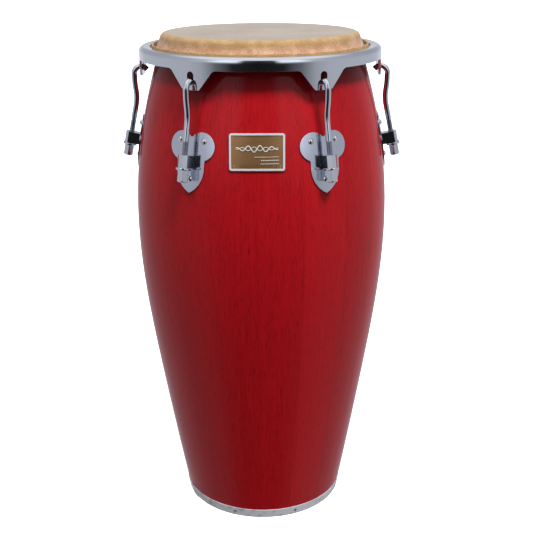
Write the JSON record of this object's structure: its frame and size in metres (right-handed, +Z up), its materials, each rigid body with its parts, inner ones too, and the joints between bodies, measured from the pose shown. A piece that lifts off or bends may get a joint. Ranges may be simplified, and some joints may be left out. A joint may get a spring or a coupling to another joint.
{
  "type": "conga drum",
  "caption": "Tall barrel hand drum of red-lacquered staves, with a hide head pulled down over its bearing edge by a chromed rim, bent hooks and tuning nuts; open at its foot.",
  "frame": {"origin": "on the drum's axis, in the plane that the foot stands on", "axes": "+Z up through the head, -Y towards the badge, +X to the right seen from the front"},
  "size_m": [0.401, 0.3634, 0.711],
  "materials": {
    "lacquered_oak": "oak staves under clear red gloss lacquer",
    "natural_hide": "scraped natural hide, unpainted",
    "hoop_steel": "plain steel wire ring under the hide",
    "chromed_rim": "polished chrome plate on steel",
    "chromed_rod": "polished chrome plate on steel rod with a rolled thread",
    "chromed_nut": "chrome plate on steel",
    "chromed_bracket": "chrome plate on steel",
    "chromed_plate": "polished chrome plate on steel sheet",
    "chromed_bolt": "chrome plate on steel",
    "zinc_plated_steel": "zinc plate on steel",
    "foot_band_aluminium": "rolled aluminium strip",
    "nail_steel": "nickelled round-head nails",
    "badge_chrome": "polished chrome frame",
    "badge_bronze": "brown bronze-coloured sheet",
    "badge_brass": "round brass pin heads"
  },
  "bodies": {
    "shell": {"stave_01": "lacquered_oak", "stave_02": "lacquered_oak", "stave_03": "lacquered_oak", "stave_04": "lacquered_oak", "stave_05": "lacquered_oak", "stave_06": "lacquered_oak", "stave_07": "lacquered_oak", "stave_08": "lacquered_oak", "stave_09": "lacquered_oak", "stave_10": "lacquered_oak", "stave_11": "lacquered_oak", "stave_12": "lacquered_oak", "stave_13": "lacquered_oak", "stave_14": "lacquered_oak", "stave_15": "lacquered_oak", "stave_16": "lacquered_oak", "stave_17": "lacquered_oak", "stave_18": "lacquered_oak", "foot_band": "foot_band_aluminium", "foot_band_nails": "nail_steel", "drumhead": "natural_hide", "flesh_hoop": "hoop_steel", "side_plate_1": "chromed_plate", "side_plate_2": "chromed_plate", "side_plate_3": "chromed_plate", "side_plate_4": "chromed_plate", "side_plate_5": "chromed_plate", "side_plate_6": "chromed_plate", "bracket_1": "chromed_bracket", "bracket_2": "chromed_bracket", "bracket_3": "chromed_bracket", "bracket_4": "chromed_bracket", "bracket_5": "chromed_bracket", "bracket_6": "chromed_bracket", "backing_plate_1": "zinc_plated_steel", "backing_plate_2": "zinc_plated_steel", "backing_plate_3": "zinc_plated_steel", "backing_plate_4": "zinc_plated_steel", "backing_plate_5": "zinc_plated_steel", "backing_plate_6": "zinc_plated_steel", "side_plate_bolts": "chromed_bolt", "side_plate_bolt_nuts": "zinc_plated_steel", "badge_frame": "badge_chrome", "badge_face": "badge_bronze", "badge_pins": "badge_brass"},
    "rim": {"rim": "chromed_rim"},
    "hook_1": {"hook_1": "chromed_rod"},
    "nut_1": {"tuning_nut_1": "chromed_nut"},
    "hook_2": {"hook_2": "chromed_rod"},
    "nut_2": {"tuning_nut_2": "chromed_nut"},
    "hook_3": {"hook_3": "chromed_rod"},
    "nut_3": {"tuning_nut_3": "chromed_nut"},
    "hook_4": {"hook_4": "chromed_rod"},
    "nut_4": {"tuning_nut_4": "chromed_nut"},
    "hook_5": {"hook_5": "chromed_rod"},
    "nut_5": {"tuning_nut_5": "chromed_nut"},
    "hook_6": {"hook_6": "chromed_rod"},
    "nut_6": {"tuning_nut_6": "chromed_nut"}
  },
  "joints": [
    {"name": "rim_slide", "type": "slide", "parent": "shell", "child": "rim", "axis": [0, 0, 1], "range_m": [0, 0.01]},
    {"name": "hook_1_slide", "type": "slide", "parent": "shell", "child": "hook_1", "axis": [-0.104, 0.1801, 0.9781], "range_m": [0, 0.0103]},
    {"name": "nut_1_turn", "type": "hinge", "parent": "shell", "child": "nut_1", "pos_m": [0.09515, -0.1648, 0.55403], "axis": [-0.104, 0.1801, 0.9781], "range_deg": [-2950, 0]},
    {"name": "hook_2_slide", "type": "slide", "parent": "shell", "child": "hook_2", "axis": [-0.2079, 0, 0.9781], "range_m": [0, 0.0103]},
    {"name": "nut_2_turn", "type": "hinge", "parent": "shell", "child": "nut_2", "pos_m": [0.19029, 0, 0.55403], "axis": [-0.2079, 0, 0.9781], "range_deg": [-2950, 0]},
    {"name": "hook_3_slide", "type": "slide", "parent": "shell", "child": "hook_3", "axis": [-0.104, -0.1801, 0.9781], "range_m": [0, 0.0103]},
    {"name": "nut_3_turn", "type": "hinge", "parent": "shell", "child": "nut_3", "pos_m": [0.09515, 0.1648, 0.55403], "axis": [-0.104, -0.1801, 0.9781], "range_deg": [-2950, 0]},
    {"name": "hook_4_slide", "type": "slide", "parent": "shell", "child": "hook_4", "axis": [0.104, -0.1801, 0.9781], "range_m": [0, 0.0103]},
    {"name": "nut_4_turn", "type": "hinge", "parent": "shell", "child": "nut_4", "pos_m": [-0.09515, 0.1648, 0.55403], "axis": [0.104, -0.1801, 0.9781], "range_deg": [-2950, 0]},
    {"name": "hook_5_slide", "type": "slide", "parent": "shell", "child": "hook_5", "axis": [0.2079, 0, 0.9781], "range_m": [0, 0.0103]},
    {"name": "nut_5_turn", "type": "hinge", "parent": "shell", "child": "nut_5", "pos_m": [-0.19029, 0, 0.55403], "axis": [0.2079, 0, 0.9781], "range_deg": [-2950, 0]},
    {"name": "hook_6_slide", "type": "slide", "parent": "shell", "child": "hook_6", "axis": [0.104, 0.1801, 0.9781], "range_m": [0, 0.0103]},
    {"name": "nut_6_turn", "type": "hinge", "parent": "shell", "child": "nut_6", "pos_m": [-0.09515, -0.1648, 0.55403], "axis": [0.104, 0.1801, 0.9781], "range_deg": [-2950, 0]}
  ],
  "couplings": [
    {"joint": "hook_1_slide", "follows": "rim_slide", "ratio": 1.0223},
    {"joint": "nut_1_turn", "follows": "rim_slide", "rad_per_m": -5138.8},
    {"joint": "hook_2_slide", "follows": "rim_slide", "ratio": 1.0223},
    {"joint": "nut_2_turn", "follows": "rim_slide", "rad_per_m": -5138.8},
    {"joint": "hook_3_slide", "follows": "rim_slide", "ratio": 1.0223},
    {"joint": "nut_3_turn", "follows": "rim_slide", "rad_per_m": -5138.8},
    {"joint": "hook_4_slide", "follows": "rim_slide", "ratio": 1.0223},
    {"joint": "nut_4_turn", "follows": "rim_slide", "rad_per_m": -5138.8},
    {"joint": "hook_5_slide", "follows": "rim_slide", "ratio": 1.0223},
    {"joint": "nut_5_turn", "follows": "rim_slide", "rad_per_m": -5138.8},
    {"joint": "hook_6_slide", "follows": "rim_slide", "ratio": 1.0223},
    {"joint": "nut_6_turn", "follows": "rim_slide", "rad_per_m": -5138.8}
  ]
}
